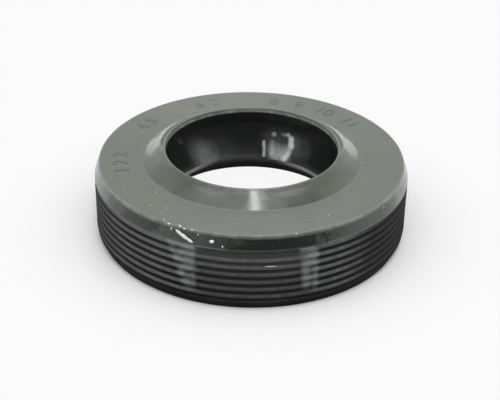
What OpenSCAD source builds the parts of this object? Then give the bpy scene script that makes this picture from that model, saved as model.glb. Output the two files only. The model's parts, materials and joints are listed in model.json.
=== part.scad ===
// Rotary shaft oil seal, lying on its back face with the dust lip up.
// Rubber is moulded round a pressed steel case, and a garter spring draws the main lip in.
// Frame: Z is the shaft axis, z = 0 the back face, on the oil side. Radii are in the half section.

/* [Rated size] */
// Diameter of the shaft that the seal runs on
shaft_d = 22; // [20:0.5:24]
// Diameter of the housing bore, and over the rib crests
housing_d = 40; // [39:0.5:46]
// Width of the body between its back and front faces
body_w = 10; // [9.5:0.25:14]

/* [Ribbed outside] */
// Distance aimed at from one rib crest to the next
rib_pitch = 1; // [0.9:0.05:1.3]
// Width of the round groove between two crests
groove_w = 0.68; // [0.4:0.02:0.8]
// Depth of that groove
groove_depth = 0.32; // [0.15:0.01:0.4]
// Height of the plain tapered band below the ribs
band_h = 1.25; // [1:0.05:2]
// How far the band draws in at the back face
band_in = 0.6; // [0.2:0.05:0.8]
// Height of the bevel above the ribs
bevel_h = 1.75; // [1:0.05:2.2]
// How far the bevel draws in at the front face
bevel_in = 0.6; // [0.2:0.05:0.8]

/* [Steel case] */
// Thickness of the pressed sheet
sheet_t = 1; // [0.6:0.05:1.2]
// Rubber between the rib crests and the case
outer_skin = 1.1; // [0.9:0.05:1.4]
// Rubber between the front face and the case
face_skin = 0.9; // [0.7:0.05:1.4]
// Rubber on the inner side of the case
inner_skin = 0.35; // [0.2:0.05:0.5]
// Rubber between the grease chamber and the hole in the case's flange
throat_t = 1.8; // [1.4:0.1:2.4]
// Height of the case's open end above the back face
case_back_z = 0.8; // [0.5:0.1:1.5]
// Inside radius of the bend
bend_r = 0.4; // [0.2:0.1:0.8]
// Number of notches where the mould held the case
notch_n = 4; // [3:1:8]
// Width of a notch
notch_w = 2.6; // [1.5:0.1:4]

/* [Dust lip] */
// How far the dust lip stands out past the front face
dust_lip_h = 1.5; // [0.8:0.1:2.4]
// How far its free rim is inside the shaft's radius
dust_bite = 0.05; // [0:0.01:0.3]
// Slope of the cone, in degrees from the front face
cone_angle = 33; // [28:1:40]
// Radius of the round on top of the rim
rim_round = 0.1; // [0.05:0.01:0.2]
// Height of the upright land inside the rim
rim_land_h = 0.6; // [0.4:0.05:0.9]
// Radius of the fillet at the foot of the cone
foot_fillet = 0.5; // [0.2:0.1:1]

/* [Main lip] */
// How far the free sealing edge is inside the shaft's radius
lip_bite = 0.6; // [0.3:0.05:0.8]
// Height of the sealing edge above the back face
lip_z = 3.9; // [3.6:0.1:4.4]
// Width of the contact land on the sealing edge
lip_land_w = 0.3; // [0.2:0.05:0.4]
// Slope of the oil side of the lip, in degrees from the axis
oil_angle = 41; // [38:1:48]
// Slope of the air side of the lip, in degrees from the axis
air_angle = 25; // [22:1:27]
// Height of the end of the nose above the back face
nose_z = 2; // [1.5:0.1:2.3]
// Radius of the round at the outer corner of the nose
nose_round = 0.35; // [0.1:0.05:0.5]
// How far the grease chamber between the lips runs out behind the dust lip's rim
chamber_depth = 1.45; // [1.2:0.05:1.6]
// Radius of the round inside the grease chamber
chamber_round = 0.65; // [0.4:0.05:0.9]
// Thickness of the wall that lets the lip flex, where it meets the fillet to the web
flex_t = 1.35; // [1:0.05:1.5]
// Radius of that fillet
flex_fillet = 1.2; // [0.8:0.1:1.4]

/* [Garter spring] */
// Outside diameter of the close coil
coil_d = 1.7; // [1.5:0.05:1.9]
// Diameter of the wire
wire_d = 0.42; // [0.36:0.02:0.5]
// Gap between turns on the inside of the ring
turn_gap = 0.06; // [0.04:0.01:0.2]
// Rubber between the sealing edge and the spring
spring_wall = 1.9; // [1.7:0.05:2.1]
// How far the spring sits behind the sealing edge, towards the air side
spring_offset = 0.4; // [0.2:0.05:0.6]
// Clearance between the spring and its groove
spring_gap = 0.02; // [0.01:0.01:0.1]
// How far the nose hooks out past the middle of the spring
hook = 0.42; // [0.3:0.02:0.6]

/* [Hidden] */

// Facets of a full circle, of a rounded corner and of the spring's turns
$fn = 144;
corner_steps = 8;
turn_steps = 6;
wire_sides = 4;

// Far enough to cut right through a face
past = 1;

housing_r = housing_d / 2;
shaft_r = shaft_d / 2;
lip_r = shaft_r - lip_bite;
rim_r = shaft_r - dust_bite;
rim_z = body_w + dust_lip_h;

rib_zone = body_w - band_h - bevel_h;
rib_n = max(1, round(rib_zone / rib_pitch));
rib_step = rib_zone / rib_n;

// Circle that cuts a groove of that width and depth into the crests' cylinder
groove_r = (pow(groove_w / 2, 2) + pow(groove_depth, 2)) / (2 * groove_depth);

case_r = housing_r - outer_skin;
case_top_z = body_w - face_skin;
channel_r = case_r - sheet_t - inner_skin;
channel_fillet = bend_r + inner_skin;
mouth_chamfer = inner_skin;
web_z = case_top_z - sheet_t - inner_skin;

coil_r = coil_d / 2;
spring_r = lip_r + spring_wall + coil_r;
spring_z = lip_z + spring_offset;
turn_n = floor(2 * PI * (spring_r - coil_r) / (wire_d + turn_gap));

// Upper end of the cone, where it meets the round on the rim
cone_top = [rim_r + rim_round * (1 + sin(cone_angle)), rim_z - rim_round * (1 - cos(cone_angle))];
foot_r = cone_top.x + (cone_top.y - body_w) / tan(cone_angle);

land_low = lip_z - lip_land_w / 2;
land_top = lip_z + lip_land_w / 2;
chamber_r = rim_r + chamber_depth;
flange_hole_r = chamber_r + throat_t;
flex_top_z = web_z - flex_fillet;
flex_r = lip_r + (flex_top_z - land_top) * tan(air_angle) + flex_t;
nose_r = spring_r + hook;

// Points of an arc about c, from angle a to angle b
function arc(c, r, a, b) =
    [for (i = [0 : corner_steps])
        let (t = a + (b - a) * i / corner_steps)
        c + r * [cos(t), sin(t)]];

// Middle of the grease chamber's round, which the air side of the lip runs into
chamber_mid =
    let (r = chamber_r - chamber_round,
         touch = r + chamber_round * cos(air_angle))
    [r, land_top + (touch - lip_r) / tan(air_angle) + chamber_round * sin(air_angle)];

// Angle at which the underside of the dust lip leaves that round
chamber_end =
    let (to_rim = [rim_r, rim_z - rim_land_h] - chamber_mid)
    atan2(to_rim.y, to_rim.x) - acos(chamber_round / norm(to_rim));

// Outline of the moulded rubber, without the ribs' grooves, the spring's groove and the case
module rubber_outline() {
    polygon(concat(
        [[channel_r + mouth_chamfer, 0]],
        [[housing_r - band_in, 0]],
        [[housing_r, band_h]],
        [[housing_r, body_w - bevel_h]],
        [[housing_r - bevel_in, body_w]],
        arc([foot_r + foot_fillet * tan(cone_angle / 2), body_w + foot_fillet],
            foot_fillet, -90, -90 - cone_angle),
        arc([rim_r + rim_round, rim_z - rim_round], rim_round, 90 - cone_angle, 180),
        [[rim_r, rim_z - rim_land_h]],
        arc(chamber_mid, chamber_round, chamber_end, -air_angle),
        [[lip_r, land_top]],
        [[lip_r, land_low]],
        [[lip_r + (land_low - nose_z) * tan(oil_angle), nose_z]],
        arc([nose_r - nose_round, nose_z + nose_round], nose_round, -90, 0),
        [[nose_r, spring_z]],
        [[flex_r, spring_z + coil_r]],
        arc([flex_r + flex_fillet, flex_top_z], flex_fillet, 180, 90),
        arc([channel_r - channel_fillet, web_z - channel_fillet], channel_fillet, 90, 0),
        [[channel_r, mouth_chamfer]]
    ));
}

// L section of the pressed case, with a round bend
module case_section() {
    outer_bend = bend_r + sheet_t;
    polygon(concat(
        [[case_r - sheet_t, case_back_z]],
        [[case_r, case_back_z]],
        arc([case_r - outer_bend, case_top_z - outer_bend], outer_bend, 0, 90),
        [[flange_hole_r, case_top_z]],
        [[flange_hole_r, case_top_z - sheet_t]],
        arc([case_r - outer_bend, case_top_z - outer_bend], bend_r, 90, 0)
    ));
}

// Round grooves between the rib crests
module rib_grooves() {
    for (i = [0 : rib_n - 1]) {
        translate([housing_r - groove_depth + groove_r, band_h + groove_w / 2 + i * rib_step])
            circle(r = groove_r);
    }
}

// Notches in the back face that bare the end of the case
module mould_notches() {
    depth = sheet_t / 2 + inner_skin;
    for (i = [0 : notch_n - 1]) {
        rotate([0, 0, 360 * (i + 0.5) / notch_n])
            translate([channel_r - past, -notch_w / 2, -past])
                cube([depth + past, notch_w, case_back_z + past]);
    }
}

module rubber_body() {
    color("#2b322e")
        difference() {
            rotate_extrude()
                difference() {
                    rubber_outline();
                    rib_grooves();
                    translate([spring_r, spring_z])
                        circle(r = coil_r + spring_gap);
                    case_section();
                }
            mould_notches();
        }
}

module steel_case() {
    color("silver")
        rotate_extrude()
            case_section();
}

// Corner j of the wire's section at step i along the closed coil
function wire_corner(i, j) =
    let (turn = 360 * i / turn_steps,
         along = turn / turn_n,
         side = 360 * j / wire_sides,
         reach = coil_r - wire_d / 2 * (1 - cos(side)),
         r = spring_r + reach * cos(turn),
         shift = wire_d / 2 * sin(side))
    [r * cos(along) - shift * sin(along),
     r * sin(along) + shift * cos(along),
     spring_z + reach * sin(turn)];

// One wire wound in turns round the ring, with its last turn joined to its first
module garter_spring() {
    steps = turn_n * turn_steps;
    corners = [for (i = [0 : steps - 1]) for (j = [0 : wire_sides - 1]) wire_corner(i, j)];
    sides = [for (i = [0 : steps - 1]) for (j = [0 : wire_sides - 1])
        let (here = i * wire_sides,
             next = (i + 1) % steps * wire_sides,
             k = (j + 1) % wire_sides)
        each [[here + j, next + j, next + k], [here + j, next + k, here + k]]];
    color("lightslategray")
        polyhedron(points = corners, faces = sides);
}

rubber_body();
steel_case();
garter_spring();
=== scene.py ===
import bpy, json, math, random
from mathutils import Matrix, Vector

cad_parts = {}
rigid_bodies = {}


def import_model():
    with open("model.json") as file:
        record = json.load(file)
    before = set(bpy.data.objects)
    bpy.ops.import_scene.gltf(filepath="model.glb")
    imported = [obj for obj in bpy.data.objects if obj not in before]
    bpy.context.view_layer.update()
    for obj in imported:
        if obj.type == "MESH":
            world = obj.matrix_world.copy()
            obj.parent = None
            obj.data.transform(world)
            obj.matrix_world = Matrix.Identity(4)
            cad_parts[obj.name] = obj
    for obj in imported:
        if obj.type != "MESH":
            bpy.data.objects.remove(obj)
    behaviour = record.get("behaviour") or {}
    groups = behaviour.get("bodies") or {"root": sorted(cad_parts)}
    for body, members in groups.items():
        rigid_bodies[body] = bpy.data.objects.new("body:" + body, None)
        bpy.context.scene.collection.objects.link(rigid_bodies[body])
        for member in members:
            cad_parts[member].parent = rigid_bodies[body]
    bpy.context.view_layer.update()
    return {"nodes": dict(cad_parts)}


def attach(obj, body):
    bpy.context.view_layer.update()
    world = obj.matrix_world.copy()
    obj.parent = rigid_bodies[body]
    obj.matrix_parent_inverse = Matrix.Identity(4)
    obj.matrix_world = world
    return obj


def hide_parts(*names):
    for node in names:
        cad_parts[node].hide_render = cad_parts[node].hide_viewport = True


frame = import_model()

from types import SimpleNamespace

mm = 0.001


def named(values):
    # a dictionary whose values are read as names.value
    return SimpleNamespace(**values)


def operator(operation, swapped=False):
    # a method that puts a Math node on two wires, or on a wire and a number
    def apply(wire, other):
        first, second = (other, wire) if swapped else (wire, other)
        return wire.board.sum(operation, first, second)
    return apply


class Wire:
    # a node's output, so that sums on it read as plain expressions
    def __init__(self, board, socket):
        self.board = board
        self.socket = socket

    def also(self, name):
        return Wire(self.board, self.socket.node.outputs[name])

    __add__ = operator("ADD")
    __radd__ = operator("ADD", swapped=True)
    __sub__ = operator("SUBTRACT")
    __rsub__ = operator("SUBTRACT", swapped=True)
    __mul__ = operator("MULTIPLY")
    __rmul__ = operator("MULTIPLY", swapped=True)
    __truediv__ = operator("DIVIDE")
    __pow__ = operator("POWER")
    __lt__ = operator("LESS_THAN")
    __gt__ = operator("GREATER_THAN")


class Board:
    # one node tree, of a material, of the world or of Geometry Nodes
    def __init__(self, tree):
        self.tree = tree

    def add(self, kind, sockets=None, output=0, **settings):
        # a new node with its settings and what goes into its sockets; gives back one of its outputs
        node = self.tree.nodes.new(kind)
        for name, value in settings.items():
            setattr(node, name, value)
        for name, value in (sockets or {}).items():
            if isinstance(value, Wire):
                self.tree.links.new(value.socket, node.inputs[name])
            else:
                node.inputs[name].default_value = value
        return Wire(self, node.outputs[output]) if len(node.outputs) else None

    def put(self, kind, *rest, **settings):
        return self.add("ShaderNode" + kind, *rest, **settings)

    def sum(self, operation, first, second=0.0):
        return self.put("Math", {0: first, 1: second}, operation=operation)

    def ramp(self, value, low, high):
        # 0 below low, 1 above high, eased between; low may be the larger one
        if low < high:
            sockets = {"Value": value, "From Min": low, "From Max": high}
            return self.put("MapRange", sockets, interpolation_type="SMOOTHSTEP")
        return 1 - self.ramp(value, high, low)

    def around(self, value, middle, outer, inner):
        # 1 within inner of the middle, 0 beyond outer, eased between
        return self.ramp(self.sum("ABSOLUTE", value - middle), outer, inner)

    def blend(self, factor, first, second):
        # two colours, whose sockets on a Mix node are 6 and 7, with the result at output 2
        return self.put("Mix", {0: factor, 6: first, 7: second}, 2, data_type="RGBA")

    def noise(self, place, size, detail=2.0, rough=0.5):
        # size is the grain's width in millimetres
        sockets = {"Vector": place, "Scale": 1 / (size * mm), "Detail": detail, "Roughness": rough}
        return self.put("TexNoise", sockets)

    def patchy(self, place, size, detail, rough, low, high):
        # patches of noise: 0 where it is below low, 1 where it is above high
        return self.ramp(self.noise(place, size, detail, rough), low, high)

    def axes(self, place):
        # X, Y, Z and the distance from the seal's axis
        x = self.put("SeparateXYZ", {"Vector": place}, "X")
        y = x.also("Y")
        return x, y, x.also("Z"), (x * x + y * y) ** 0.5


def newObject(name, data):
    thing = bpy.data.objects.new(name, data)
    bpy.context.scene.collection.objects.link(thing)
    return thing


def emptyBoard(owner):
    # for a material or the world, without the nodes that a new one has
    owner.use_nodes = True
    owner.node_tree.nodes.clear()
    return Board(owner.node_tree)


def newMaterial(name):
    material = bpy.data.materials.new(name)
    return material, emptyBoard(material)


def aimed(place, direction):
    # the matrix of a camera or lamp there, looking that way
    return Matrix.Translation(place) @ direction.to_track_quat("-Z", "Y").to_matrix().to_4x4()


def finishMaterial(board, colour, roughness, bumps, others):
    # bumps are heights in millimetres, and others what goes into the shader's other sockets
    bump = board.put("Bump", {"Height": bumps, "Distance": mm, "Strength": 1.0})
    sockets = {"Base Color": colour, "Roughness": roughness, "Normal": bump, **others}
    shader = board.put("BsdfPrincipled", sockets)
    board.put("OutputMaterial", {"Surface": shader})


# Camera: where the photographer's lens was, in millimetres from the middle of the back face
cameraSetup = {
    "place": (0.813, -136.786, 82.462),
    "aim": (-0.094, -2.582, 5.0),
    "rollDegrees": 0.875,
    "lens": 87.18,
    "nearest": 5,
    "farthest": 20000,
}


def makeCamera():
    data = bpy.data.cameras.new("camera")
    data.lens = cameraSetup["lens"]
    data.clip_start = cameraSetup["nearest"] * mm
    data.clip_end = cameraSetup["farthest"] * mm
    camera = newObject("camera", data)
    place = Vector(cameraSetup["place"]) * mm
    aim = Vector(cameraSetup["aim"]) * mm
    roll = Matrix.Rotation(math.radians(cameraSetup["rollDegrees"]), 4, "Z")
    camera.matrix_world = aimed(place, aim - place) @ roll
    bpy.context.scene.camera = camera


makeCamera()
print("camera placed")


# The moulded half section, in millimetres and degrees
rubberSizes = {
    "crestRadius": 20.0,
    "bodyWidth": 10.0,
    "ribPitch": 1.0,
    "grooveCount": 7,
    "firstGroove": 1.39,
    "grooveWidth": 0.68,
    "grooveDepth": 0.32,
    "bandHeight": 1.25,
    "bandIn": 0.6,
    "bevelHeight": 1.75,
    "bevelIn": 0.6,
    "channelRadius": 17.55,
    "webHeight": 7.75,
    "channelFillet": 0.75,
    "mouthChamfer": 0.35,
    "rimRadius": 10.95,
    "rimHeight": 11.5,
    "rimRound": 0.2,
    "rimLand": 0.6,
    "rimBrace": 0.45,
    # the cone's slope at a radius, from its foot to its rim
    "coneSlopes": ((13.8, 15), (13.4, 18), (13.05, 20), (12.5, 24),
                   (12.1, 30), (11.8, 37), (11.5, 45), (11.3, 50)),
    "footRound": 0.2,
    "chamberRadius": 12.4,
    "chamberRound": 0.65,
    "lipRadius": 10.4,
    "lipHeight": 3.9,
    "lipLand": 0.3,
    "oilAngle": 41.0,
    "airAngle": 25.0,
    "noseHeight": 2.0,
    "noseRound": 0.35,
    "flexWall": 1.35,
    "flexFillet": 1.2,
    "springRadius": 13.15,
    "springHeight": 4.3,
    "springSeat": 0.87,
    "hook": 0.42,
    "caseRadius": 18.9,
    "caseTop": 9.1,
    "sheet": 1.0,
    "caseBack": 0.8,
    "bendRadius": 0.4,
    "flangeHole": 14.2,
    "notchCount": 4,
    "notchWidth": 2.6,
    "notchRadii": (16.5, 18.4),
    "notchTop": 0.805,
    "outerRound": 0.14,
    "innerRound": 0.06,
    "wallClear": (0.45, 0.15),
    "grooveCurve": 0.8,
    "unevenness": 0.012,
    "unevenWidth": 4,
    "railRadius": 15,
    "segments": 256,
    "sharpDegrees": 40,
}


def arc(middle, radius, start, end, steps=8):
    angles = [math.radians(start + (end - start) * i / steps) for i in range(steps + 1)]
    return [(middle[0] + radius * math.cos(a), middle[1] + radius * math.sin(a)) for a in angles]


def conePoints(s, top, steps=26):
    # the dust lip's cone, from its foot up to the round on the rim, scaled to end at that height
    radii, slopes = zip(*s.coneSlopes)
    points = [(radii[0], 0)]
    for i in range(steps):
        middle = radii[0] + (top[0] - radii[0]) * (i + 0.5) / steps
        k = max(k for k in range(len(radii) - 1) if radii[k] >= middle)
        share = (radii[k] - middle) / (radii[k] - radii[k + 1])
        slope = math.radians(slopes[k] + (slopes[k + 1] - slopes[k]) * share)
        width = (radii[0] - top[0]) / steps
        points.append((points[-1][0] - width, points[-1][1] + width * math.tan(slope)))
    scale = (top[1] - s.bodyWidth) / points[-1][1]
    return [(r, s.bodyWidth + z * scale) for r, z in points]


def softened(points):
    # a point with a third number is a corner: its rounding starts that far back, at most 0.45 of a side
    result = []
    for i, corner in enumerate(points):
        if len(corner) == 2:
            result.append(corner)
            continue
        here = Vector(corner[:2])
        back = Vector(points[i - 1][:2]) - here
        ahead = Vector(points[(i + 1) % len(points)][:2]) - here
        first = here + back.normalized() * min(corner[2], back.length * 0.45)
        last = here + ahead.normalized() * min(corner[2], ahead.length * 0.45)
        for t in (0, 0.2, 0.4, 0.6, 0.8, 1):
            result.append(tuple(first * (1 - t) ** 2 + here * (2 * t * (1 - t)) + last * t ** 2))
    return result


def braced(points, near=0.05, least=0.3):
    # a point close to both ends of each long side keeps flat faces flat when they are shaded smooth
    result = []
    for i, point in enumerate(points):
        here = Vector(point)
        ahead = Vector(points[(i + 1) % len(points)])
        result.append(point)
        if (ahead - here).length > least:
            step = (ahead - here).normalized() * near
            result += [tuple(here + step), tuple(ahead - step)]
    return result


def wallPoints(s):
    # rows of points up the ribbed wall and the top of the band, closest together at the crests' edges:
    # half has the shares of the pitch from the middle of a groove to that of a crest
    half = [0, 0.08, 0.16, 0.22, 0.27, 0.31, 0.34, 0.36, 0.38, 0.42, 0.5]
    across = [-u for u in half[:0:-1]] + half[:-1]
    middles = [s.firstGroove + i * s.ribPitch for i in range(s.grooveCount)]
    heights = [middle + u * s.ribPitch for middle in middles for u in across] + [s.bandHeight]
    # clear of the rounded corners below and above
    low = s.firstGroove - s.wallClear[0]
    high = s.bodyWidth - s.bevelHeight - s.wallClear[1]
    slope = s.bandIn / s.bandHeight
    heights = [z for z in sorted(heights) if low < z < high]
    return [(s.crestRadius - max(0, s.bandHeight - z) * slope, z) for z in heights]


def rubberOutline(s):
    rimZ = s.rimHeight
    topSlope = s.coneSlopes[-1][1]
    cone = math.radians(topSlope)
    coneTop = (s.rimRadius + s.rimRound * (1 + math.sin(cone)), rimZ - s.rimRound * (1 - math.cos(cone)))
    landLow = s.lipHeight - s.lipLand / 2
    landTop = s.lipHeight + s.lipLand / 2
    air = math.radians(s.airAngle)
    chamberR = s.chamberRadius - s.chamberRound
    touch = chamberR + s.chamberRound * math.cos(air)
    chamberZ = landTop + (touch - s.lipRadius) / math.tan(air) + s.chamberRound * math.sin(air)
    toRim = Vector((s.rimRadius - chamberR, rimZ - s.rimLand - chamberZ))
    chamberEnd = math.degrees(math.atan2(toRim.y, toRim.x) - math.acos(s.chamberRound / toRim.length))
    flexTop = s.webHeight - s.flexFillet
    flexR = s.lipRadius + (flexTop - landTop) * math.tan(air) + s.flexWall
    noseR = s.springRadius + s.hook
    noseSlope = math.tan(math.radians(s.oilAngle))
    seat = s.springSeat
    seatLow = -math.degrees(math.acos(s.hook / seat))
    seatTop = math.degrees(math.acos((flexR - s.springRadius) / seat))
    outer, inner = s.outerRound, s.innerRound
    points = [(s.channelRadius + s.mouthChamfer, 0, inner), (s.crestRadius - s.bandIn, 0, outer)]
    points += wallPoints(s)
    points += [(s.crestRadius, s.bodyWidth - s.bevelHeight, outer)]
    points += [(s.crestRadius - s.bevelIn, s.bodyWidth, outer)]
    slant = conePoints(s, coneTop)
    # the point next to the foot makes way for its rounding
    points += [slant[0] + (s.footRound,)] + slant[2:-1]
    rimMiddle = (s.rimRadius + s.rimRound, rimZ - s.rimRound)
    points += arc(rimMiddle, s.rimRound, 90 - topSlope, 180, 12)
    points += [(s.rimRadius, rimZ - s.rimBrace), (s.rimRadius, rimZ - s.rimLand, inner)]
    points += arc((chamberR, chamberZ), s.chamberRound, chamberEnd, -s.airAngle, 16)
    points += [(s.lipRadius, landTop, inner / 2), (s.lipRadius, landLow, inner / 2)]
    points += [(s.lipRadius + (landLow - s.noseHeight) * noseSlope, s.noseHeight, inner)]
    points += arc((noseR - s.noseRound, s.noseHeight + s.noseRound), s.noseRound, -90, 0)
    points += arc((s.springRadius, s.springHeight), seat, seatLow, seatTop - 360, 20)
    points += arc((flexR + s.flexFillet, flexTop), s.flexFillet, 180, 90)
    fillet = s.channelFillet
    points += arc((s.channelRadius - fillet, s.webHeight - fillet), fillet, 90, 0)
    points += [(s.channelRadius, s.mouthChamfer, inner)]
    return braced(softened(points))


def pocketOutline(s):
    # the case's own section, which the rubber is bonded to
    bend = s.bendRadius + s.sheet
    middle = (s.caseRadius - bend, s.caseTop - bend)
    points = [(s.caseRadius - s.sheet, s.caseBack), (s.caseRadius, s.caseBack)]
    points += arc(middle, bend, 0, 90)
    points += [(s.flangeHole, s.caseTop), (s.flangeHole, s.caseTop - s.sheet)]
    points += arc(middle, s.bendRadius, 90, 0)
    return points[::-1]


def loopMesh(name, loops):
    # closed loops of edges, radius along X and height along Y, from millimetres
    corners, edges = [], []
    for loop in loops:
        first = len(corners)
        corners += [(r * mm, z * mm, 0) for r, z in loop]
        edges += [(first + i, first + (i + 1) % len(loop)) for i in range(len(loop))]
    mesh = bpy.data.meshes.new(name)
    mesh.from_pydata(corners, edges, [])
    return mesh


class Grower:
    # a Geometry Nodes tree with named inputs
    def __init__(self, name, sizes):
        self.tree = bpy.data.node_groups.new(name, "GeometryNodeTree")
        self.board = Board(self.tree)
        kinds = {float: "NodeSocketFloat", int: "NodeSocketInt"}
        for way in ("INPUT", "OUTPUT"):
            self.tree.interface.new_socket("Geometry", in_out=way, socket_type="NodeSocketGeometry")
        self.values = {}
        for label, value in sizes.items():
            socket = self.tree.interface.new_socket(label, in_out="INPUT", socket_type=kinds[type(value)])
            self.values[socket.identifier] = value
        self.inputs = self.tree.nodes.new("NodeGroupInput")

    def put(self, kind, *rest, **settings):
        return self.board.add("GeometryNode" + kind, *rest, **settings)

    def take(self, label):
        return Wire(self.board, self.inputs.outputs[label])

    def vector(self, x=0.0, y=0.0, z=0.0):
        return self.board.put("CombineXYZ", {"X": x, "Y": y, "Z": z})

    def give(self, geometry, material, smooth=True, others=()):
        # ends the tree; others are pairs of a material and the faces that it goes on
        put = self.put
        geometry = put("RealizeInstances", {"Geometry": geometry})
        geometry = put("SetShadeSmooth", {"Geometry": geometry, "Shade Smooth": smooth})
        geometry = put("SetMaterial", {"Geometry": geometry, "Material": material})
        for other, where in others:
            geometry = put("SetMaterial", {"Geometry": geometry, "Selection": where, "Material": other})
        self.board.add("NodeGroupOutput", {"Geometry": geometry})

    def grow(self, name, mesh=None):
        piece = newObject(name, mesh or bpy.data.meshes.new(name))
        modifier = piece.modifiers.new("grow", "NODES")
        modifier.node_group = self.tree
        for identifier, value in self.values.items():
            modifier[identifier] = value
        depsgraph = bpy.context.evaluated_depsgraph_get()
        grown = bpy.data.meshes.new_from_object(piece.evaluated_get(depsgraph), depsgraph=depsgraph)
        piece.modifiers.remove(modifier)
        piece.data = grown
        grown.name = name
        # the empty slots that this leaves are dropped
        for slot in reversed(range(len(grown.materials))):
            if grown.materials[slot] is None:
                grown.materials.pop(index=slot)
        return piece


def objectPlace(board):
    return board.put("TexCoord", output="Object")


class Skin:
    # a material of the rubber, and where on the seal its finish says that things are:
    # radii and heights are the millimetres where a thing starts and where it is full,
    # sectors are an azimuth in degrees, from -180 to 180, and how far from it they end and are full,
    # noises are a grain in millimetres, detail, roughness, and where their patches start and are full
    def __init__(self, name, finish):
        self.material, self.board = newMaterial(name)
        self.finish = finish
        self.place = objectPlace(self.board)
        x, y, z, radius = self.board.axes(self.place)
        self.radius = radius * (1 / mm)
        self.height = z * (1 / mm)
        self.azimuth = self.board.sum("ARCTAN2", y, x) * math.degrees(1)

    def out(self, name):
        return self.board.ramp(self.radius, *self.finish["radii"][name])

    def up(self, name):
        return self.board.ramp(self.height, *self.finish["heights"][name])

    def sector(self, name, shift=None):
        azimuth = self.azimuth if shift is None else self.azimuth + shift
        return self.board.around(azimuth, *self.finish["sectors"][name])

    def patches(self, name):
        return self.board.patchy(self.place, *self.finish["noises"][name])


# The dust lip's cone taken as straight, in millimetres: its height at a radius, and its fall outwards
straightCone = {
    "radius": 11,
    "height": 11.45,
    "fall": 0.649,
}

# Moulded rubber: near black with an olive cast, under a pale bloom, and glossy where the mould was polished
rubberFinish = {
    "deep": (0.012, 0.017, 0.012, 1),
    "bloom": (0.054, 0.083, 0.048, 1),
    "bevelBloom": (0.060, 0.078, 0.064, 1),
    "coneBloom": (0.053, 0.072, 0.050, 1),
    "warm": (0.070, 0.074, 0.056, 1),
    # the next two colours are painted reflection tints, for the face's near and far sides
    "nearBloom": (0.080, 0.098, 0.105, 1),
    "farBloom": (0.105, 0.098, 0.072, 1),
    # the pale colour of the painted highlights
    "worn": (0.23, 0.26, 0.225, 1),
    # the paler colour of the painted highlight on the rim's inner land
    "rubbedRim": (0.46, 0.49, 0.44, 1),
    "index": 1.6,
    "roughness": 0.155,
    "faceRoughness": 0.46,
    "coneRoughness": 0.12,
    "rimDulling": 0.2,
    "grainHeight": 0.001,
    "toolMarkHeight": 0.0006,
    "toolMarkPitch": 0.17,
    "grain": (0.22, 3, 0.6),
    "noises": {
        "cloud": (7, 3, 0.5, 0.3, 0.7),
        "mottle": (1.1, 4, 0.6, 0.35, 0.7),
        "uneven": (2.6, 4, 0.6, 0.35, 0.65),
        "specks": (0.5, 3, 0.6, 0.35, 0.65),
        "cast": (4.5, 2, 0.5, 0.35, 0.65),
    },
    "radii": {
        "bevel": (19.1, 19.3),
        "bevelFoot": (19.8, 19.85),
        "bevelEnds": (19.4, 19.5),
        "edgeFaint": (19.05, 19.25),
        "edgeBright": (19.27, 19.4),
        "face": (13.8, 14.0),
        "numbers": (14, 14.3),
        "cone": (14.0, 13.8),
        "dirt": (12.0, 12.6),
        "underRim": (12.9, 12.3),
        "rimFlank": (11.9, 11.6),
        "rimTop": (11.6, 11.3),
        "rimDull": (11.45, 11.25),
        "rimMiddle": (11.13, 11.2),
        "rimCrown": (11.18, 11.1),
        "rimLand": (11.04, 10.99),
    },
    "heights": {
        "bevel": (8.0, 8.4),
        "bevelFoot": (8.42, 8.22),
        "edge": (9.58, 9.84),
        "toolMarks": (9.6, 9.98),
        "top": (9.9, 9.95),
        "numbers": (10.012, 10.03),
        "rim": (10.8, 11.0),
        "rimLand": (10.86, 11.0),
        "rimLandTop": (11.42, 11.26),
        "rimCrown": (11.2, 11.3),
    },
    "sectors": {
        "frontShade": (-81, 20, 12),
        "streak": (-113, 13, 6),
        "blotch": (-132, 11, 5),
        "dirt": (-62, 14, 6),
        "near": (-88, 48, 12),
        "front": (-90, 74, 54),
        "far": (108, 45, 18),
        "underRim": (90, 85, 65),
    },
    "nearHalf": (20, 0),
    # how strong each thing is, as a share
    "amounts": {
        "bevel": 0.6,
        "blotch": 0.88,
        "streak": 0.38,
        "bevelEnds": 0.95,
        "top": 0.66,
        "numbers": 0.5,
        "dirt": 0.8,
        "underRim": 0.65,
        "rimCrown": 0.15,
        "edgeFaint": 0.22,
        "edgeBright": 0.68,
        "bevelFoot": 0.45,
        "endsWorn": 0.8,
        "rimTop": 0.12,
        "rimTopFar": 0.02,
        "rimFlank": 0.3,
        "rimLand": 0.45,
        "warm": 0.25,
        "near": 0.3,
        "far": 0.25,
    },
}


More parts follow.
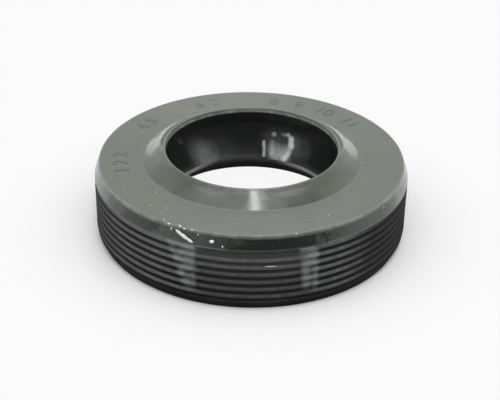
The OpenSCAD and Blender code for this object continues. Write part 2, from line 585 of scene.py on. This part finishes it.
def makeRubber():
    f, amount = named(rubberFinish), named(rubberFinish["amounts"])
    skin = Skin("mouldedRubber", rubberFinish)
    board, out, up, sector, patches = skin.board, skin.out, skin.up, skin.sector, skin.patches
    cloud, mottle, cast = patches("cloud"), patches("mottle"), patches("cast")
    uneven, specks = patches("uneven") - 0.5, patches("specks") - 0.5
    grain = board.noise(skin.place, *f.grain)
    wobble = mottle - 0.5
    # the bevel's front, left darker: painted shade
    frontShade = sector("frontShade", wobble * 10)
    blotch = sector("blotch", wobble * 4)
    streak = sector("streak", wobble * 4)
    near = sector("near")
    # the bevel's ends on the near half, painted paler: painted reflection
    ends = (1 - sector("front")) * board.ramp(skin.azimuth, *f.nearHalf)
    onCone = out("cone") * up("top")
    onFace = out("face") * up("top")
    # the cone under the far rim, painted darker: painted shade
    underRim = onCone * sector("underRim") * out("underRim")

    # bloom lies on all that faces up, and on the bevel except at its front, which is left dark: painted
    # shade
    cone = straightCone["height"] - (skin.radius - straightCone["radius"]) * straightCone["fall"]
    onTop = board.ramp(skin.height - board.sum("MAXIMUM", cone, 9.95), -0.45, -0.38)
    onBevel = amount.bevel + cloud * 0.2 - blotch * amount.blotch + streak * amount.streak
    onBevel = out("bevel") * up("bevel") * (onBevel + ends * amount.bevelEnds) * (1 - frontShade)
    outside = board.sum("MAXIMUM", onTop, onBevel)
    pale = amount.top + cloud * 0.12 + mottle * 0.14 + onCone * uneven * 0.25
    # on the near face: dust specks, mottle, and a painted lift of light
    pale = pale + near * onFace * (uneven * 0.22 + specks * 0.5 + 0.04)
    # thinner on the numbers, under the far rim as painted shade, and on a patch of the cone's foot, which
    # is darker there
    # a patch of the cone's foot, about azimuth -62, made darker
    dirt = onCone * sector("dirt") * out("dirt")
    pale = outside * pale * (1 - out("numbers") * up("numbers") * amount.numbers)
    pale = pale * (1 - dirt * amount.dirt) * (1 - underRim * amount.underRim)
    bloom = board.blend(onTop, f.bevelBloom, f.bloom)
    # on the near side the cone takes its own bloom colour fully, a painted tint
    bloom = board.blend(onCone * (0.35 + near * 0.65), bloom, f.coneBloom)
    colour = board.blend(pale, f.deep, bloom)
    # the rim's crown, painted darker: painted shade
    colour = board.blend(out("rimCrown") * up("rimCrown") * amount.rimCrown, colour, f.deep)

    # painted highlights in a pale colour: round the face's edge, at the bevel's foot and ends, and on and
    # inside the dust lip's rim; at the bevel's ends it is a painted reflection
    worn = (out("edgeFaint") * amount.edgeFaint + out("edgeBright") * amount.edgeBright) * up("edge")
    worn = worn + out("bevelFoot") * up("bevelFoot") * (1 - frontShade) * amount.bevelFoot
    worn = worn + ends * out("bevelEnds") * amount.endsWorn
    # painted highlights on the rim's top, weaker under the far rim, and on its flank on the near side
    rimTop = amount.rimTop - underRim * (amount.rimTop - amount.rimTopFar)
    worn = worn + out("rimTop") * out("rimMiddle") * up("rim") * rimTop
    worn = worn + near * out("rimFlank") * up("rim") * amount.rimFlank
    colour = board.blend(board.sum("MINIMUM", worn * (0.5 + mottle * 0.5), 1), colour, f.worn)
    # painted highlight on the rim's inner land
    rimLand = out("rimLand") * up("rimLand") * up("rimLandTop")
    colour = board.blend(rimLand * (amount.rimLand + mottle * 0.55), colour, f.rubbedRim)
    colour = board.blend(outside * cast * amount.warm, colour, f.warm)
    # painted reflection tint on the face's near side
    colour = board.blend(onFace * near * amount.near, colour, f.nearBloom)
    # painted reflection tint, warm, on the face's far side
    colour = board.blend(onFace * sector("far") * amount.far, colour, f.farBloom)

    roughness = f.roughness + onCone * (f.coneRoughness - f.roughness)
    roughness = roughness + onFace * (f.faceRoughness - f.roughness)
    roughness = roughness + out("rimDull") * up("rim") * f.rimDulling
    roughness = roughness + (grain - 0.5) * 0.06 + wobble * 0.03
    toolMarks = board.sum("SINE", skin.radius * (2 * math.pi / f.toolMarkPitch)) * up("toolMarks")
    bumps = grain * f.grainHeight + toolMarks * f.toolMarkHeight
    finishMaterial(board, colour, roughness, bumps, {"IOR": f.index})
    return skin.material


# The ribbed wall comes duller from its own half of the mould, and its crests are rubbed; how pale crests
# and grooves are also changes round and up the wall as painted light and shade
wallFinish = {
    "deep": (0.013, 0.016, 0.015, 1),
    "rubbed": (0.24, 0.26, 0.24, 1),
    "specular": 0.06,
    "roughness": 0.5,
    "grainHeight": 0.003,
    "grain": (0.3, 4, 0.65),
    # painted reflections, pale patches across the ribs: azimuth of each end, and how many degrees a
    # millimetre the left end leans
    "patches": ((-120, -108.4, 1.0), (-74, -66, 0.3)),
    "patchTop": 8.2,
    "noises": {
        "cloud": (5, 3, 0.5, 0.3, 0.7),
        "scuff": (0.9, 4, 0.7, 0.35, 0.7),
        "paintedReflection": (1.3, 4, 0.6, 0.25, 0.6),
    },
    "radii": {
        "crest": (19.76, 19.97),
    },
    "heights": {
        "foot": (1.4, 1.0),
        "ribs": (1.2, 1.7),
        "patches": (1.6, 3),
        "flanks": (3.5, 8),
        "between": (4.5, 6.8),
        "topRib": (7.65, 7.8),
    },
    "lastGroove": (7.45, 0.35, 0.1),
    "sectors": {
        "front": (-90, 84, 42),
        "flanks": (-97, 34, 18),
        "dim": (-88, 26, 16),
    },
    # the painted shade to the right of the near side, in degrees
    "rightFrom": (-60, -42),
    "rightTo": (30, 0),
    "amounts": {
        "crest": 0.38,
        "crestDim": 0.17,
        "scuff": 0.2,
        "scuffDim": 0.14,
        "back": 0.2,
        "right": 0.75,
        "foot": 0.03,
        "flanks": 0.1,
        "patches": 0.62,
    },
}


def makeWallRubber():
    f, amount = named(wallFinish), named(wallFinish["amounts"])
    skin = Skin("ribbedRubber", wallFinish)
    board, up, sector, azimuth = skin.board, skin.up, skin.sector, skin.azimuth
    cloud, grain = skin.patches("cloud"), board.noise(skin.place, *f.grain)
    crest = skin.out("crest")
    scuff = crest * skin.patches("scuff")
    # painted reflections: pale patches across the ribs
    paintedReflection = 0
    for left, right, lean in f.patches:
        leftEnd = board.ramp(azimuth - left - (f.patchTop - skin.height) * lean, 0, 2.5)
        paintedReflection = paintedReflection + leftEnd * board.ramp(azimuth, right + 1, right - 1)
    paintedReflection = board.sum("MINIMUM", paintedReflection, 1) * skin.patches("paintedReflection") * up("patches")
    front, dim = sector("front"), sector("dim")
    # in the middle of the near side the crests are dim and the top rib is dark, as painted shade, and the
    # grooves are paler, as painted light
    crests = crest * (amount.crest - dim * (amount.crest - amount.crestDim))
    crests = crests + scuff * (amount.scuff - dim * (amount.scuff - amount.scuffDim))
    # crests are painted paler towards the front than at the back: painted light
    crests = crests * up("ribs") * (front * (1 - amount.back) + amount.back)
    # to the right of the near side the crests are painted darker: painted shade
    right = board.ramp(azimuth, *f.rightFrom) * board.ramp(azimuth, *f.rightTo)
    grooves = dim * (0.02 + up("between") * 0.06 + board.around(skin.height, *f.lastGroove) * 0.1)
    pale = (crests * (1 - right * amount.right) + grooves) * (1 - up("topRib") * dim)
    # higher up on the near side the wall is painted paler, and darker towards the bottom: painted light and
    # shade
    flanks = up("flanks") * sector("flanks")
    pale = pale + (cloud * 0.03 + flanks * amount.flanks + paintedReflection * amount.patches) * front
    pale = pale + up("foot") * amount.foot
    colour = board.blend(board.sum("MINIMUM", pale, 1), f.deep, f.rubbed)
    roughness = f.roughness + (grain - 0.5) * 0.15 + scuff * 0.1
    finishMaterial(board, colour, roughness, grain * f.grainHeight, {"Specular IOR Level": f.specular})
    return skin.material


# Inside the bore the rubber is clean and black, with pale smears on the lip's air side, partly grease and
# partly painted reflection
boreFinish = {
    "deep": (0.013, 0.017, 0.013, 1),
    "chamber": (0.040, 0.052, 0.039, 1),
    "grease": (0.70, 0.75, 0.71, 1),
    "specular": 0.18,
    "roughness": 0.3,
    "grainHeight": 0.0015,
    "grain": (0.25, 4, 0.6),
    "swirl": (1.2, 3, 0.6),
    # millimetres along the wall: round it for a degree, and up its slant for a millimetre of height
    "roundPerDegree": 0.2,
    "upPerHeight": 1.1,
    "streakSquash": (1, 1, 0.25),
    # from one azimuth and height to another, half the width in millimetres, and the strength
    "smears": (
        ((69.5, 7.5), (66, 7.55), 0.22, 0.3), ((66, 7.55), (63.2, 7.1), 0.24, 0.5),
        ((63, 7.1), (62.2, 6.3), 0.34, 0.9), ((62.2, 6.2), (65, 4.6), 0.38, 0.5),
        ((65.8, 4.6), (65.9, 4.5), 0.4, 0.25), ((75.4, 7.35), (75.4, 7.3), 0.28, 0.45),
        ((76.2, 6.3), (75.4, 4.9), 0.34, 0.22), ((81.6, 6.2), (81.2, 4.6), 0.22, 0.65),
        ((73, 5.2), (67, 5.2), 1, 0.33), ((72, 4.4), (66, 4.4), 0.9, 0.22),
        ((75, 6.6), (67, 6.6), 1.5, 0.07), ((60, 7), (58, 5.6), 0.8, 0.07),
        ((54, 6.9), (51, 6), 1, 0.045), ((66, 5), (52, 4.6), 1.6, 0.01),
        ((131, 6.2), (128, 4.4), 1.4, 0.08), ((125, 5.4), (122, 4.3), 1.6, 0.12),
        ((114, 5.2), (112, 4.2), 2, 0.03), ((104, 4.5), (90, 4.5), 1.4, 0.02),
        ((143, 8.3), (141.5, 7.8), 0.25, 0.06),
    ),
    "noises": {
        "streaks": (0.5, 3, 0.5, 0.35, 0.65),
    },
    "heights": {
        "edge": (3.5, 3.7),
        "edgeTop": (4.35, 4.1),
        "airSide": (4.1, 4.3),
        "foot": (4.15, 4.3),
        "footTop": (5.0, 4.5),
        "chamber": (7.8, 9.0),
    },
    "sectors": {
        "far": (95, 45, 20),
    },
    "amounts": {
        "edge": 0.38,
        "edgeFar": 0.04,
        "foot": 0.03,
    },
}


def makeBoreRubber():
    f, amount = named(boreFinish), named(boreFinish["amounts"])
    skin = Skin("boreRubber", boreFinish)
    board, up = skin.board, skin.up
    perDegree, perHeight = f.roundPerDegree, f.upPerHeight
    grain = board.noise(skin.place, *f.grain)
    swirl = board.noise(skin.place, *f.swirl) - 0.5
    acrossMm = skin.azimuth * perDegree + swirl * 0.5
    upMm = skin.height * perHeight + swirl * 0.3
    # pale smears, partly grease and partly painted reflection, and the painted highlight on the sealing
    # edge
    paleSmearAndHighlight = 0
    for start, end, halfWidth, strength in f.smears:
        x, y = start[0] * perDegree, start[1] * perHeight
        dx, dy = end[0] * perDegree - x, end[1] * perHeight - y
        squared = dx * dx + dy * dy
        along = (acrossMm - x) * (dx / squared) + (upMm - y) * (dy / squared)
        along = board.sum("MINIMUM", board.sum("MAXIMUM", along, 0), 1)
        offX, offY = acrossMm - x - along * dx, upMm - y - along * dy
        off = (offX * offX + offY * offY) ** 0.5
        paleSmearAndHighlight = paleSmearAndHighlight + board.ramp(off, halfWidth * 1.7, halfWidth * 0.2) * strength
    squashed = board.put("Mapping", {"Vector": skin.place, "Scale": f.streakSquash})
    paleSmearAndHighlight = paleSmearAndHighlight * (0.85 + board.patchy(squashed, *boreFinish["noises"]["streaks"]) * 0.3)
    # a painted highlight on the sealing edge and the oil side just below it, weaker on the far side
    edgeHighlight = amount.edgeFar + (1 - skin.sector("far")) * amount.edge
    edge = up("edge") * up("edgeTop") * edgeHighlight
    foot = up("foot") * up("footTop") * amount.foot
    paleSmearAndHighlight = board.sum("MINIMUM", paleSmearAndHighlight * up("airSide") + edge + foot, 1)
    # above the lip's air side the chamber is painted paler: painted light in its shade
    colour = board.blend(up("chamber"), f.deep, f.chamber)
    colour = board.blend(paleSmearAndHighlight, colour, f.grease)
    roughness = f.roughness + (grain - 0.5) * 0.1
    finishMaterial(board, colour, roughness, grain * f.grainHeight, {"Specular IOR Level": f.specular})
    return skin.material


rubber = makeRubber()
wallRubber = makeWallRubber()
boreRubber = makeBoreRubber()


def ribRule(s):
    # the ribbed ring's inputs, in metres
    return {
        "Crest Radius": s.crestRadius * mm,
        "Pitch": s.ribPitch * mm,
        "First Groove": s.firstGroove * mm,
        "Grooves": s.grooveCount,
        "Half Width": s.grooveWidth / 2 * mm,
        "Depth": s.grooveDepth * mm,
        "Curve": s.grooveCurve,
        "Unevenness": s.unevenness * mm,
        "Segments": s.segments,
        "Rail Radius": s.railRadius * mm,
        "Notches": s.notchCount,
        "Notch Width": s.notchWidth * mm,
        "Notch Inner Radius": s.notchRadii[0] * mm,
        "Notch Outer Radius": s.notchRadii[1] * mm,
        "Notch Top": s.notchTop * mm,
    }


# Which faces are the wall's and the bore's rubber, in millimetres
rubberSplit = {
    "ribDepth": 0.4,
    "wallDepth": 0.7,
    "wallTop": 8.2,
    "boreRadius": 12.25,
    "boreTop": 10.91,
    "chamberRadius": 12.6,
    "chamberMiddle": 7.6,
    "chamberHalf": 2.3,
    "coneSkin": 0.4,
}


def makeRubberBody():
    s = named(rubberSizes)
    rule = Grower("ribbed ring", ribRule(s))
    board, take, put = rule.board, rule.take, rule.put
    split = named({name: value * mm for name, value in rubberSplit.items()})
    x, y, z, radius = board.axes(put("InputPosition"))
    section = put("MeshToCurve", {"Mesh": take("Geometry")})
    moved = rule.vector(x - take("Rail Radius"), y * -1)
    section = put("SetPosition", {"Geometry": section, "Position": moved})
    rail = put("CurvePrimitiveCircle", {"Resolution": take("Segments"), "Radius": take("Rail Radius")})
    ring = put("CurveToMesh", {"Curve": rail, "Profile Curve": section})
    ring = put("FlipFaces", {"Mesh": ring})

    # grooves between the ribs, all from one rule
    nearest = board.sum("ROUND", (z - take("First Groove")) / take("Pitch"))
    nearest = board.sum("MAXIMUM", board.sum("MINIMUM", nearest, take("Grooves") - 1), 0)
    across = (z - take("First Groove") - nearest * take("Pitch")) / take("Half Width")
    cut = take("Depth") * board.sum("MAXIMUM", 1 - across * across, 0) ** take("Curve")
    uneven = board.noise(put("InputPosition"), s.unevenWidth) * take("Unevenness")
    onWall = (radius > take("Crest Radius") - split.ribDepth) * (z < split.wallTop)
    excess = board.sum("MAXIMUM", radius - take("Crest Radius") + cut, 0) + uneven
    shrink = 1 - excess * onWall / radius
    ring = put("SetPosition", {"Geometry": ring, "Position": rule.vector(x * shrink, y * shrink, z)})

    # notches where the mould held the case
    length = take("Notch Outer Radius") - take("Notch Inner Radius")
    block = put("MeshCube", {"Size": rule.vector(length, take("Notch Width"), take("Notch Top") * 2)})
    outwards = rule.vector(take("Notch Inner Radius") + length / 2)
    block = put("Transform", {"Geometry": block, "Translation": outwards})
    spots = put("Points", {"Count": take("Notches")}, "Points")
    turn = (put("InputIndex") + 0.5) / take("Notches") * (2 * math.pi)
    blocks = put("InstanceOnPoints", {"Points": spots, "Instance": block, "Rotation": rule.vector(z=turn)})
    blocks = put("RealizeInstances", {"Geometry": blocks})
    ring = put("MeshBoolean", {"Mesh 1": ring, "Mesh 2": blocks}, operation="DIFFERENCE", solver="MANIFOLD")

    # the faces of the wall, and of the bore as far as the cone's underside
    onWall = (radius > take("Crest Radius") - split.wallDepth) * (z < split.wallTop)
    underRim = (radius < split.boreRadius) * (z < split.boreTop)
    offMiddle = board.sum("ABSOLUTE", z - split.chamberMiddle)
    inChamber = (radius < split.chamberRadius) * (offMiddle < split.chamberHalf)
    coneSum = (straightCone["height"] + straightCone["radius"] * straightCone["fall"]) * mm
    underCone = z + radius * straightCone["fall"] < coneSum - split.coneSkin
    inBore = board.sum("MAXIMUM", underRim, inChamber) * underCone
    rule.give(ring, rubber, others=((wallRubber, onWall), (boreRubber, inBore)))
    section = loopMesh("half section", [rubberOutline(s), pocketOutline(s)])
    body = rule.grow("rubber_ring", section)
    body.data.set_sharp_from_angle(angle=math.radians(s.sharpDegrees))
    return body


rubberBody = makeRubberBody()
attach(rubberBody, "root")
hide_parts("rubber_body")
print("rubber body:", len(rubberBody.data.polygons), "faces")


# Plain raised numbers, as on a dial
numberSizes = {
    "Ring Radius": 16.6 * mm,
    "Size": 2.8 * mm,
    "Base Height": 9.99 * mm,
    "Relief": 0.042 * mm,
    "Merge Distance": 0.0002 * mm,
}
# Each number, and the azimuth of its middle
numberPlaces = (("1", 195), ("2", 188), ("3", 181), ("4", 151.5), ("5", 144.5), ("6", 116), ("7", 108.5),
                ("8", 80), ("9", 68), ("10", 54), ("11", 38))


def makeNumbers():
    rule = Grower("raised numbers", numberSizes)
    take, put = rule.take, rule.put

    def join(parts):
        whole = put("JoinGeometry")
        for part in parts:
            rule.tree.links.new(part.socket, whole.socket.node.inputs[0])
        return whole

    outlines = []
    for text, azimuth in numberPlaces:
        letters = put("StringToCurves", {"String": text, "Size": take("Size")},
                      "Curve Instances", align_x="CENTER", align_y="MIDDLE")
        # laid out along Y, then turned to its place
        letters = put("Transform", {"Geometry": letters, "Translation": rule.vector(y=take("Ring Radius"))})
        turned = {"Geometry": letters, "Rotation": (0, 0, math.radians(azimuth - 90))}
        outlines.append(put("Transform", turned))
    strokes = put("RealizeInstances", {"Geometry": join(outlines)})
    flat = put("FillCurve", {"Curve": strokes})
    relief = rule.vector(z=take("Relief"))
    raised = put("ExtrudeMesh", {"Mesh": flat, "Offset": relief, "Individual": False}, "Mesh")
    under = put("FlipFaces", {"Mesh": flat})
    whole = put("MergeByDistance", {"Geometry": join((raised, under)), "Distance": take("Merge Distance")})
    whole = put("Transform", {"Geometry": whole, "Translation": rule.vector(z=take("Base Height"))})
    rule.give(whole, rubber, smooth=False)
    return rule.grow("raised_numbers")


numbers = makeNumbers()
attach(numbers, "root")
print("raised numbers:", len(numbers.data.polygons), "faces")


# Bright drawn wire
springFinish = {
    "wire": (0.56, 0.55, 0.53, 1),
    "dull": (0.36, 0.35, 0.33, 1),
    "roughness": 0.26,
    "stain": (2.5, 4, 0.6, 0.45, 0.75),
    "drawing": (0.05, 2),
    "drawingHeight": 0.001,
}


def makeSpringSteel():
    f = named(springFinish)
    material, board = newMaterial("drawnWire")
    place = objectPlace(board)
    stain = board.patchy(place, *f.stain)
    drawing = board.noise(place, *f.drawing)
    colour = board.blend(stain * 0.6, f.wire, f.dull)
    roughness = f.roughness + stain * 0.18 + (drawing - 0.5) * 0.08
    finishMaterial(board, colour, roughness, drawing * f.drawingHeight, {"Metallic": 1.0})
    return material


springRule = {
    "Ring Radius": rubberSizes["springRadius"] * mm,
    "Height": rubberSizes["springHeight"] * mm,
    "Coil Radius": 0.64 * mm,
    "Wire Radius": 0.21 * mm,
    "Turns": 161,
    "Steps": 12,
    "Sides": 6,
}


def makeSpring():
    rule = Grower("garter coil", springRule)
    board, take, put = rule.board, rule.take, rule.put
    ring = put("CurvePrimitiveCircle", {"Resolution": take("Turns") * take("Steps")})
    turn = put("InputIndex") / take("Steps") * (2 * math.pi)
    along = turn / take("Turns")
    radius = take("Ring Radius") + take("Coil Radius") * board.sum("COSINE", turn)
    height = take("Height") + take("Coil Radius") * board.sum("SINE", turn)
    coil = put("SetPosition", {"Geometry": ring, "Position": rule.vector(
        radius * board.sum("COSINE", along), radius * board.sum("SINE", along), height)})
    wire = put("CurvePrimitiveCircle", {"Resolution": take("Sides"), "Radius": take("Wire Radius")})
    coil = put("CurveToMesh", {"Curve": coil, "Profile Curve": wire})
    rule.give(coil, makeSpringSteel())
    return rule.grow("garter_coil")


spring = makeSpring()
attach(spring, "root")
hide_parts("garter_spring")
print("garter spring:", len(spring.data.polygons), "faces")


# Pressed steel, grey from its bonding coat, seen only in the notches
caseFinish = {
    "steel": (0.30, 0.30, 0.29, 1),
    "coat": (0.13, 0.14, 0.13, 1),
    "roughness": 0.42,
    "coatPatches": (1.4, 4, 0.6, 0.4, 0.65),
    "shearSquash": (1, 1, 0.15),
    "shear": (0.12, 3),
    "shearHeight": 0.004,
}


def finishCase():
    f = named(caseFinish)
    material, board = newMaterial("pressedSteel")
    place = objectPlace(board)
    coat = board.patchy(place, *f.coatPatches)
    squashed = board.put("Mapping", {"Vector": place, "Scale": f.shearSquash})
    shear = board.noise(squashed, *f.shear)
    colour = board.blend(coat, f.steel, f.coat)
    roughness = f.roughness + coat * 0.15 + (shear - 0.5) * 0.15
    finishMaterial(board, colour, roughness, shear * f.shearHeight, {"Metallic": 1 - coat * 0.6})
    case = frame["nodes"]["steel_case"]
    case.data.materials.clear()
    case.data.materials.append(material)


finishCase()
print("steel case finished")


# Pale crumbs on the rubber: azimuth, radius, height, length and width in millimetres, and turn in degrees
crumbList = (
    (-102.6, 19.72, 9.02, 0.58, 0.44, 10), (-107.5, 19.55, 9.55, 0.2, 0.12, 40),
    (-98.8, 19.87, 8.6, 0.26, 0.18, 70), (-73.8, 19.45, 9.93, 0.2, 0.1, 0),
    (-35.3, 19.62, 9.4, 0.24, 0.1, 30), (-117.5, 19.56, 9.52, 0.32, 0.18, 80),
    (-118.8, 19.42, 9.96, 0.34, 0.16, 10), (-114.5, 19.3, 9.98, 0.4, 0.16, 0),
    (-125, 19.5, 9.8, 0.14, 0.08, 30), (-112.6, 19.46, 9.9, 0.36, 0.14, 5),
    (-109.8, 19.43, 9.94, 0.3, 0.12, 0), (-121.8, 18.9, 10, 0.2, 0.12, 20),
    (-132.5, 17.5, 10, 0.2, 0.09, 80), (-126, 16.7, 10, 0.16, 0.1, 20),
    (-115, 19.1, 10, 0.16, 0.1, 45), (-174, 13.75, 10, 0.18, 0.09, 30),
    (-5, 14.2, 10, 0.14, 0.1, 60), (-57.5, 17.2, 10, 0.2, 0.1, 15),
    (-146, 18.2, 10, 0.14, 0.09, 50), (-139, 15.1, 10, 0.12, 0.08, 0),
    (-92, 18.6, 10, 0.1, 0.07, 0),
)
# Torn flash: from one azimuth, radius and height to another, and the width
flashList = (
    ((-115.9, 19.56, 9.55), (-112.6, 19.73, 9.03), 0.36),
    ((-114.6, 19.63, 9.34), (-110.4, 19.83, 8.74), 0.42),
    ((-111.6, 19.76, 8.95), (-109, 19.87, 8.52), 0.42),
    ((-85, 19.96, 6.16), (-80.5, 19.96, 6.13), 0.07),
)
# Dust strewn at random over the face, the bevel and the wall, and what it all looks like
dustSetup = {
    "seed": 7,
    "count": 100,
    "heights": (10, 10, 10, 9.2, 8.1, 6.1, 5.1),
    "faceRadii": (13.9, 19.2),
    "bevelRadius": 19.66,
    "wallRadius": 19.95,
    "sizes": (0.02, 0.06),
    "faceFrom": 9.97,
    "bevelFrom": 8.25,
    "bevelLean": 18.9,
    "flashThickness": 0.1,
    "dark": (0.62, 0.65, 0.62, 1),
    "light": (0.86, 0.88, 0.85, 1),
    "roughness": 0.75,
    "grain": (0.08, 2),
    "grainHeight": 0.01,
}
crumbSizes = {
    "Roughness Height": 0.18,
    "Grain": 1.3,
    "Seed": 4.0,
}


def onRing(azimuth, radius, height):
    a = math.radians(azimuth)
    return Vector((radius * math.cos(a), radius * math.sin(a), height)) * mm


def makeDustMaterial():
    f = named(dustSetup)
    material, board = newMaterial("paleCrumb")
    tone = board.noise(objectPlace(board), *f.grain)
    colour = board.blend(tone, f.dark, f.light)
    roughness = f.roughness + (tone - 0.5) * 0.2
    finishMaterial(board, colour, roughness, tone * f.grainHeight, {})
    return material


def makeCrumbs():
    s = named(dustSetup)
    places, turns, stretches = [], [], []

    def normalAt(azimuth, height):
        # the surface's own direction: up on the face, out on the wall, between them on the bevel
        lean = 90 if height >= s.faceFrom else (s.bevelLean if height > s.bevelFrom else 0)
        return onRing(azimuth, math.cos(math.radians(lean)), math.sin(math.radians(lean))).normalized()

    def lay(middle, along, normal, size):
        side = normal.cross(along).normalized()
        axes = Matrix((side.cross(normal), side, normal)).transposed()
        places.append(tuple(middle))
        turns.append(tuple(axes.to_euler()))
        stretches.append(tuple(v * mm / 2 for v in size))

    for azimuth, radius, height, length, width, turn in crumbList:
        normal = normalAt(azimuth, height)
        level = onRing(azimuth + 90, 1, 0).normalized()
        along = Matrix.Rotation(math.radians(turn), 3, normal) @ level
        lay(onRing(azimuth, radius, height), along, normal, (length, width, width * 0.6))
    for start, end, width in flashList:
        strip = onRing(*end) - onRing(*start)
        middle = [(u + v) / 2 for u, v in zip(start, end)]
        normal = normalAt(middle[0], middle[2])
        lay(onRing(*middle), strip.normalized(), normal, (strip.length / mm, width, s.flashThickness))
    seeds = random.Random(s.seed)
    for i in range(s.count):
        azimuth = seeds.uniform(-180, 180)
        height = seeds.choice(s.heights)
        if height >= s.faceFrom:
            radius = seeds.uniform(*s.faceRadii)
        else:
            radius = s.bevelRadius if height > s.bevelFrom else s.wallRadius
        size = seeds.uniform(*s.sizes)
        along = Matrix.Rotation(seeds.uniform(0, 3.1), 3, "Z") @ Vector((1, 0, 0))
        normal = normalAt(azimuth, height)
        lay(onRing(azimuth, radius, height), along, normal, (size * 1.6, size, size * 0.6))
    mesh = bpy.data.meshes.new("crumb places")
    mesh.from_pydata(places, [], [])
    for label, values in (("turn", turns), ("stretch", stretches)):
        attribute = mesh.attributes.new(label, "FLOAT_VECTOR", "POINT")
        attribute.data.foreach_set("vector", [v for value in values for v in value])

    # one bumpy lump, laid at every place with its turn and its stretch
    rule = Grower("crumbs", crumbSizes)
    take, put = rule.take, rule.put
    lump = put("MeshIcoSphere", {"Radius": 1.0, "Subdivisions": 2}, "Mesh")
    grain = {"W": take("Seed"), "Scale": take("Grain"), "Detail": 1.0}
    bump = rule.board.put("TexNoise", grain, noise_dimensions="4D")
    outward = {0: put("InputNormal"), "Scale": (bump - 0.5) * take("Roughness Height") * 4}
    bumpy = rule.board.put("VectorMath", outward, operation="SCALE")
    lump = put("SetPosition", {"Geometry": lump, "Offset": bumpy})
    turn, stretch = (put("InputNamedAttribute", {"Name": name}, data_type="FLOAT_VECTOR")
                     for name in ("turn", "stretch"))
    points = put("MeshToPoints", {"Mesh": take("Geometry")})
    laid = put("InstanceOnPoints", {"Points": points, "Instance": lump, "Rotation": turn, "Scale": stretch})
    rule.give(laid, makeDustMaterial())
    return rule.grow("pale_crumbs", mesh)


crumbs = makeCrumbs()
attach(crumbs, "root")
print("crumbs and dust:", len(crumbs.data.polygons), "faces")


# Floor and light: a plain table, lamps, and a room that is palest overhead and dim in front
lightSetup = {
    "seal": (0, 0, 0.006),
    # each lamp: width and length in metres, radiance, place, and facing where that isn't the seal
    "lamps": (
        ("back panel", (0.2, 0.5), 1.42, (0, 0.61284, 0.51423)),
        ("low window", (0.13, 0.26), 0.95, (-0.3, 0.75, 0.13)),
        ("low window", (0.13, 0.26), 0.95, (0.275, 0.75, 0.13)),
        ("low strip", (0.1, 0.05), 1.2, (-0.19, 0.75, 0.025)),
        ("low strip", (0.1, 0.05), 1.2, (0.16, 0.75, 0.025)),
        ("left lamp", (0.24, 0.24), 0.8, (-0.29, -0.05, 0.52)),
        ("right lamp", (0.24, 0.24), 0.9, (0.29, -0.07, 0.52)),
        ("long lamp", (0.075, 2.37), 9.0, (0.034, 0.365, 1.26), (0, 0.656, -0.755)),
        ("side lamp", (0.075, 0.72), 2.1, (0.115, -0.164, 0.801), (0, 0.656, -0.755)),
    ),
    # the room: a level, and what is added to it from one height of the direction to another
    "backLevel": 0.7,
    "backMiddle": (0.38, 0.85, 0.6),
    "backLow": (0.08, 0.5, 0.28),
    "horizonDimming": (0.35, 0.3, 0.0),
    "frontLevel": 0.09,
    "frontHigh": (1.0, 0.35, 0.85),
    "overhead": (1.1, 0.74, 0.97),
    "frontToBack": (-0.9, 0.3),
    # the table: its colours, and radii in millimetres where its glow starts and is full
    "floorColour": (0.72, 0.72, 0.72, 1),
    "floorNear": (0.30, 0.30, 0.30, 1),
    "nearRadii": (45, 25),
    "glow": (0.96, 0.96, 0.96, 1),
    "glowFar": (0.85, 14, 50),
    "glowInBore": (0.95, 17.5, 16.5),
    "glowMirrored": (1.0, 21, 33),
}


def areaLamp(name, size, radiance, place, facing=None):
    data = bpy.data.lights.new(name, "AREA")
    data.shape = "RECTANGLE"
    data.size, data.size_y = size
    data.energy = radiance * math.pi * size[0] * size[1]
    lamp = newObject(name, data)
    towards = Vector(facing) if facing else Vector(lightSetup["seal"]) - Vector(place)
    lamp.matrix_world = aimed(place, towards)
    lamp.visible_camera = False


def makeTableMaterial():
    s = named(lightSetup)
    material, board = newMaterial("paleTable")
    radius = board.axes(objectPlace(board))[3] * (1 / mm)

    def glow(name):
        share, start, full = lightSetup[name]
        return board.ramp(radius, start, full) * share

    # the camera and reflections see the table paler than it lights the seal, outside the seal's shadow;
    # under the bore, inside that shadow, the camera sees it glow as painted light
    seen = board.put("LightPath", output="Is Camera Ray")
    mirrored = board.sum("MAXIMUM", seen.also("Is Glossy Ray"), seen.also("Is Transmission Ray"))
    share = seen * (glow("glowFar") + glow("glowInBore"))
    share = board.sum("MINIMUM", share + mirrored * glow("glowMirrored"), 1)
    # for light bouncing onto the seal, the table is darker near it: painted shade on the seal's lower wall
    near = board.ramp(radius, *s.nearRadii) * (1 - seen)
    colour = board.blend(near, s.floorColour, s.floorNear)
    shaded = board.put("BsdfDiffuse", {"Color": colour, "Roughness": 1.0})
    glowing = board.put("Emission", {"Color": s.glow, "Strength": 1.0})
    table = board.put("MixShader", {0: share, 1: shaded, 2: glowing})
    board.put("OutputMaterial", {"Surface": table})
    return material


def makeRoom():
    s = named(lightSetup)
    world = bpy.data.worlds.new("room")
    board = emptyBoard(world)
    direction = board.put("TexCoord", output="Generated")
    ahead = board.put("SeparateXYZ", {"Vector": direction}, "Y")
    up = ahead.also("Z")

    def added(name):
        level, start, full = lightSetup[name]
        return board.ramp(up, start, full) * level

    back = s.backLevel + added("backMiddle") + added("backLow") - added("horizonDimming")
    front = added("frontHigh") + s.frontLevel
    light = front + (back - front) * board.ramp(ahead, *s.frontToBack) + added("overhead")
    glow = board.put("Background", {"Color": (1, 1, 1, 1), "Strength": light})
    board.put("OutputWorld", {"Surface": glow})
    bpy.context.scene.world = world
    bpy.context.scene.view_settings.view_transform = "Standard"


def makeStudio():
    mesh = bpy.data.meshes.new("floor")
    mesh.from_pydata([(-2, -2, 0), (2, -2, 0), (2, 2, 0), (-2, 2, 0)], [], [(0, 1, 2, 3)])
    floor = newObject("floor", mesh)
    mesh.materials.append(makeTableMaterial())
    for lamp in lightSetup["lamps"]:
        areaLamp(*lamp)
    makeRoom()


makeStudio()
print("floor and lights placed")
